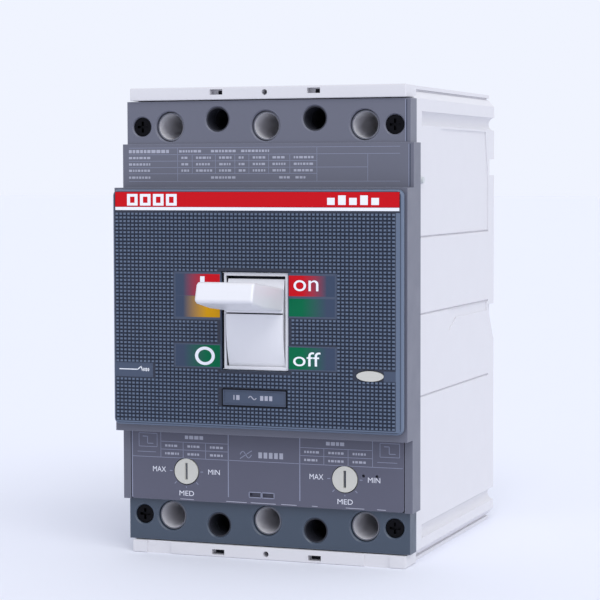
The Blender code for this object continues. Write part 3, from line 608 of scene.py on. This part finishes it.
def rating_table():
    """Thin rules and bars in place of the print above the stripe."""
    thin = 0.16
    left, last, right = TABLE_X
    first_column, last_column = TABLE_COLUMNS[0], TABLE_COLUMNS[-1]
    rules = [stroke((left, z), (right, z), thin) for z in (TABLE_TOP, TABLE_RULES[0], TABLE_BOTTOM)]
    rules += [stroke((left, z), (last_column, z), thin) for z in TABLE_RULES[1:]]
    rules.append(stroke((last_column, TABLE_RULES[2]), (last, TABLE_RULES[2]), thin))
    rules += [stroke((x, TABLE_RULES[0]), (x, TABLE_RULES[-1]), thin) for x in TABLE_COLUMNS[1:-1]]
    rules += [stroke((x, TABLE_TOP), (x, TABLE_BOTTOM), thin) for x in (first_column, last_column)]
    rules.append(stroke((last, TABLE_RULES[0]), (last, TABLE_BOTTOM), thin))
    random = Random(4)
    bars = dashes(random, (left, -34.5), HEADING_Z, 1.1, (0.9, 1.6))
    for x in ((-31.2, -22.5), (-19.5, -10.5), (-8.5, 1.6)):
        bars += dashes(random, x, HEADING_Z, 0.8)
    for z in ROW_Z:
        bars += dashes(random, (left, -42.0), z)
    for z in ROW_Z[:-1]:
        for a, b in zip(TABLE_COLUMNS, TABLE_COLUMNS[1:]):
            bars += dashes(random, (a + 1.4, b - 1.2), z)
    for x in ((-19.5, -10.5), (5.2, 9.0), (11.0, 14.5)):
        bars += dashes(random, x, ROW_Z[-1])
    marks("table_rules", rules, LABEL_STEP_Y, TABLE_INK_AND_HIGHLIGHT)
    marks("table_bars", bars, LABEL_STEP_Y, PALE_INK)


# Trip unit panel


PANEL_LOW, PANEL_HIGH = (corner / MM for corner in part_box("trip_unit_panel"))
PANEL_Y = PANEL_LOW.y
EDGE_X = -49.0  # the rule down the panel's left edge
FIELD_X = (-13.2, 12.7)  # edges of the middle field
SYMBOL_X = (-38.2, 38.4)  # edges of the outer fields with the curve symbols
HEAD_Z = (-40.9, -43.6, -46.4)  # the rules of the two small tables above the dials
BOLD, FINE = 0.3, 0.2  # widths of the strokes
SCUFFS = (  # x and length
    (-31.0, 5.0),
    (-14.0, 7.5),
    (-5.0, 9.0),
    (6.0, 5.5),
    (17.0, 2.0),
    (29.0, 6.5),
    (40.0, 3.0),
)


def field_rules():
    """The rules that part the panel into its fields."""
    top = PANEL_HIGH.z - 0.3
    bottom = HEAD_Z[-1]
    rules = [stroke((EDGE_X, PANEL_LOW.z + 0.4), (EDGE_X, top), 0.35)]
    rules += [stroke((x, PANEL_LOW.z + 2.0), (x, top), 0.35) for x in FIELD_X]
    rules += [stroke((x, bottom), (x, top), FINE) for x in SYMBOL_X]
    rules.append(stroke((-48.9, bottom), (FIELD_X[0], bottom), FINE))
    rules.append(stroke((FIELD_X[1], bottom), (48.9, bottom), FINE))
    return rules


def small_table(random, x):
    """Rules and bars of the table above one dial: three columns, two rows and a heading."""
    left, right = x
    third = (right - left) / 3
    rules = [stroke((left, z), (right, z), FINE) for z in HEAD_Z[:2]]
    for k in (1, 2):
        rules.append(stroke((left + k * third, HEAD_Z[0]), (left + k * third, HEAD_Z[-1]), FINE))
    bars = []
    for k in range(3):
        column = (left + k * third + 1.6, left + (k + 1) * third - 1.6)
        bars += dashes(random, column, -42.3) + dashes(random, column, -45.0)
    middle = (left + right) / 2
    bars += dashes(random, (middle - 3.5, middle + 3.5), -39.2, 1.2, (1.0, 1.8))
    return rules, bars


def curve_symbol(x):
    """A stepped curve in a box, over the x values given."""
    middle = (x[0] + x[1]) / 2
    top, bottom = -39.4, -41.8
    return box_strokes(x, (-42.9, -38.3), FINE) + [
        stroke((middle - 2.0, top), (middle - 0.2, top), BOLD),
        stroke((middle - 0.2, top), (middle - 0.2, bottom), BOLD),
        stroke((middle - 0.2, bottom), (middle + 2.0, bottom), BOLD),
    ]


def dial_print(x):
    """Ticks round one setting dial."""
    near = 5.2
    made = []
    for turn in (-90, -45, 0, 45, 90):
        a = radians(-90 + turn)
        far = 5.7 if turn == 0 else 6.2
        start_at = (x + near * cos(a), DIAL_Z + near * sin(a))
        end_at = (x + far * cos(a), DIAL_Z + far * sin(a))
        made.append(stroke(start_at, end_at, BOLD))
    return made


def panel_marks():
    """Rules, tables and symbols on the trip unit panel."""
    rules = field_rules()
    bars = []
    random = Random(9)
    for x in ((SYMBOL_X[0], FIELD_X[0]), (FIELD_X[1], SYMBOL_X[1])):
        table_rules, table_bars = small_table(random, x)
        rules += table_rules
        bars += table_bars
    for x in ((-46.4, -39.6), (41.0, 47.8)):
        rules += curve_symbol(x)
    rules += [stroke((side * 40.0, -44.7), (side * 47.0, -44.7), FINE) for side in (-1, 1)]
    rules += wave_strokes(-8.9, -44.2, step=0.42, height=1.1, width=BOLD)
    rules.append(stroke((-8.9, -45.6), (-4.6, -42.8), BOLD))
    bars += [rectangle((x, x + 1.3), (-45.2, -43.2)) for x in (-2.2, -0.3, 1.6, 3.5, 5.4)]
    for x in DIAL_X:
        rules += dial_print(x)
    rules.append(stroke((FIELD_X[0], HEAD_Z[-1]), (FIELD_X[1], HEAD_Z[-1]), FINE))
    for x in ((-5.6, -1.3), (-0.9, 3.4)):
        rules += box_strokes(x, (-58.7, -56.9), BOLD)
    foot = PANEL_LOW.z + 0.5
    scuffs = [stroke((x, foot), (x + length, foot - 0.05), 0.22) for x, length in SCUFFS]
    marks("panel_scuffs", scuffs, PANEL_Y, PALE_INK)
    marks("panel_rules", rules, PANEL_Y, TABLE_INK_AND_HIGHLIGHT)
    marks("panel_bars", bars, PANEL_Y, PALE_INK)


def dial_words():
    """The generic words round each dial: MAX at its left, MIN at its right and MED below."""
    words = (
        ("MAX", (-12.5, -7.6), (-51.4, -49.6)),
        ("MIN", (8.1, 12.4), (-51.6, -49.9)),
        ("MED", (-2.6, 2.8), (-59.3, -57.6)),
    )
    for i, centre in enumerate(DIAL_X, 1):
        for word, x, z in words:
            x = (centre + x[0], centre + x[1])
            lettering(f"word_{word.lower()}_{i}", word, x, z, PANEL_Y, WORD_INK)


# Housing details


def side_pin():
    """The small grey pin that shows on the right side under the cover."""
    bm = bmesh.new()
    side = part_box("base_housing")[1].x / MM
    place = Matrix.Translation((side + 0.3, -93.6, 48.5)) @ Matrix.Rotation(pi / 2, 4, "Y")
    bmesh.ops.create_cone(bm, cap_ends=True, segments=24, radius1=1.3, radius2=1.1, depth=1.4, matrix=place)
    piece("side_pin", bm, PIN_PLASTIC)


def tube(bm, centre, outer, inner, y, sides=40):
    """Adds a tube along Y to bm: centre is (x, z) and y is (front, back)."""
    rings = [
        [bm.verts.new((x, t, z)) for x, z in circle(centre, r, sides)]
        for r, t in ((outer, y[0]), (outer, y[1]), (inner, y[1]), (inner, y[0]))
    ]
    for a, b in zip(rings, rings[1:] + rings[:1]):
        for i in range(sides):
            j = (i + 1) % sides
            bm.faces.new((a[i], a[j], b[j], b[i]))


def mounting_hole_shade_liners():
    """Dark tubes that paint the shade down the mounting holes: a wide one in the cover and a narrow one in
    the pale housing.
    """
    bm = bmesh.new()
    for side, end in CORNERS:
        centre = (side * MOUNTING_HOLE_X, end * MOUNTING_HOLE_Z)
        tube(bm, centre, 4.15, 3.8, (-107.5, -101.2))
        tube(bm, centre, 3.97, 3.75, (-100.9, -60.0))
    piece("mounting_hole_shade_liners", bm, BORE_SHADE)


def terminal_tube_shade_rims():
    """Mid-grey rings over the front ends of the pale tubes round the terminal screws: painted shade down in
    the cover's holes.
    """
    bm = bmesh.new()
    for x in POLE_X:
        for z in (TERMINAL_SCREW_Z, -TERMINAL_SCREW_Z):
            tube(bm, (x, z), 4.8, 4.35, (-106.86, -106.82))
    piece("terminal_tube_shade_rims", bm, RIM_SHADE)


def recess_shadows():
    """Dark ends of the small recesses in the strips above and below the cover."""
    bm = bmesh.new()
    thick = 0.04
    for end, left, z in ((-1, 2.0, (-79.1, -77.5)), (1, 0.3, (77.5, 78.8))):
        for x in (-MOUNTING_HOLE_X, MOUNTING_HOLE_X):
            slab(bm, rectangle((x - left, x + 2.2), z), -106.1, thick)
        slab(bm, circle((0.0, end * 78.0), 0.9, 20), -104.3, thick)
    piece("recess_shadows", bm, DARK_SHADE)


def gap_shades():
    """Painted shade in the gap at the lever's foot, which turns with it, and in the one down the window's
    left side.
    """
    foot = rectangle((-9.9, 9.9), (4.15, 4.55))
    marks("lever_gap_shade", [foot], -118.5, DARK_SHADE, "dark_plastic", "handle")
    left = rectangle((-11.75, -11.15), (-14.3, 17.7))
    marks("window_gap_shade", [left], -118.0, DARK_SHADE, "dark_plastic")


def dial_slots():
    """The shadow at the bottom of each dial's slot, which turns with the dial."""
    half = (0.38, 2.8)
    for x, dial in zip(DIAL_X, ("thermal", "magnetic")):
        slot = rectangle((x - half[0], x + half[0]), (DIAL_Z - half[1], DIAL_Z + half[1]))
        marks(f"{dial}_dial_slot", [slot], -109.5, GREY_SHADE, "dark_plastic", f"{dial}_setting")


def badge_gap_shade():
    """Painted shade in the gap round the rating badge."""
    low, high = (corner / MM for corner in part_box("rating_badge"))
    gap = box_strokes((low.x, high.x), (low.z, high.z), 0.5)
    marks("badge_gap_shade", gap, low.y + 0.02, DARK_SHADE, "dark_plastic")


def cover_lines():
    """Painted shade in the grooves and a painted highlight down the cover's right-hand edge at the terminal
    and label steps.
    """
    steps = (("terminal", 49.4, (61.2, 75.0), -108.1), ("label", 50.8, (46.4, 60.4), LABEL_STEP_Y))
    for name, x, z, y in steps:
        # Painted shade in the groove.
        marks(f"{name}_groove_shade", [rectangle((x, x + 0.3), z)], y, GREY_SHADE)
        # Painted highlight along the rounded edge, in the pale table ink.
        marks(f"{name}_edge_highlight", [rectangle((x - 0.35, x - 0.1), z)], y, TABLE_INK_AND_HIGHLIGHT)


# Stage


CAMERA_PLACE = (0.25540, -0.76484, 0.04998)  # metres
CAMERA_AZIMUTH, CAMERA_ELEVATION, CAMERA_ROLL = 20.32, 3.39, -0.13  # degrees
CAMERA_LENS = 125.73  # on a sensor 36 mm wide
SUN_TARGET = (0.0, -0.06, 0.0)  # metres, like the suns' places
DIFFUSE_WORLD = 0.76  # strength of the world's light on surfaces; the camera sees it at 1


def floor_paint():
    """Matt pale paint with very faint clouds."""
    made, tree, shader, place = start("floor_paint", 0.8)
    colour = linear((235, 237, 246))
    clouds = noise(tree, place, 400.0)
    tree.links.new(mixed(tree, clouds, shade(colour, 0.995), colour), shader.inputs["Base Color"])
    shader.inputs["Specular IOR Level"].default_value = 0.1
    return made


def floor():
    """A large plain floor under the housing's lower end."""
    bm = bmesh.new()
    bmesh.ops.create_grid(bm, x_segments=1, y_segments=1, size=12.0)
    mesh = bpy.data.meshes.new("floor")
    bm.to_mesh(mesh)
    bm.free()
    mesh.materials.append(floor_paint())
    made = bpy.data.objects.new("floor", mesh)
    made.location.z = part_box("base_housing")[0].z
    bpy.context.scene.collection.objects.link(made)


def sun(name, place, spread, strength):
    """A sun lamp that shines from place; its apparent size, in degrees, softens its shadows."""
    data = bpy.data.lights.new(name, "SUN")
    data.angle = radians(spread)
    data.energy = strength
    made = bpy.data.objects.new(name, data)
    made.rotation_euler = (Vector(SUN_TARGET) - Vector(place)).to_track_quat("-Z", "Y").to_euler()
    bpy.context.scene.collection.objects.link(made)


def lights():
    """A pale world, one soft key from the upper right and a fill from the right."""
    world = bpy.data.worlds.new("studio")
    bpy.context.scene.world = world
    world.use_nodes = True
    tree = world.node_tree
    ground = tree.nodes["Background"]
    ground.inputs["Color"].default_value = (*linear((240, 244, 255)), 1.0)
    path = add(tree, "ShaderNodeLightPath")
    level = ranged(tree, path.outputs["Is Diffuse Ray"], 0.0, 1.0, 1.0, DIFFUSE_WORLD)
    tree.links.new(level, ground.inputs["Strength"])
    sun("key", (0.5, -0.9, 1.15), spread=40.0, strength=1.25)
    sun("fill", (1.0, -0.25, 0.3), spread=60.0, strength=0.7)


def camera():
    """The photo's view: from the right and a little above."""
    azimuth, elevation, roll = (radians(a) for a in (CAMERA_AZIMUTH, CAMERA_ELEVATION, CAMERA_ROLL))
    back = Vector((sin(azimuth) * cos(elevation), -cos(azimuth) * cos(elevation), sin(elevation)))
    right = Vector((cos(azimuth), sin(azimuth), 0.0))
    up = back.cross(right)
    turned = right * cos(roll) + up * sin(roll)
    upright = up * cos(roll) - right * sin(roll)
    data = bpy.data.cameras.new("camera")
    data.sensor_width = 36.0
    data.lens = CAMERA_LENS
    made = bpy.data.objects.new("camera", data)
    turn = Matrix((turned, upright, back)).transposed().to_4x4()
    made.matrix_world = Matrix.Translation(CAMERA_PLACE) @ turn
    bpy.context.scene.collection.objects.link(made)
    bpy.context.scene.camera = made


def main():
    bpy.context.scene.view_settings.view_transform = "Standard"
    camera()
    lights()
    floor()
    dress_nodes()
    knurl()
    smooth_patches()
    labels()
    stripe()
    breaker_symbol()
    badge_marks()
    rating_table()
    panel_marks()
    dial_words()
    side_pin()
    mounting_hole_shade_liners()
    terminal_tube_shade_rims()
    recess_shadows()
    gap_shades()
    dial_slots()
    badge_gap_shade()
    cover_lines()


main()
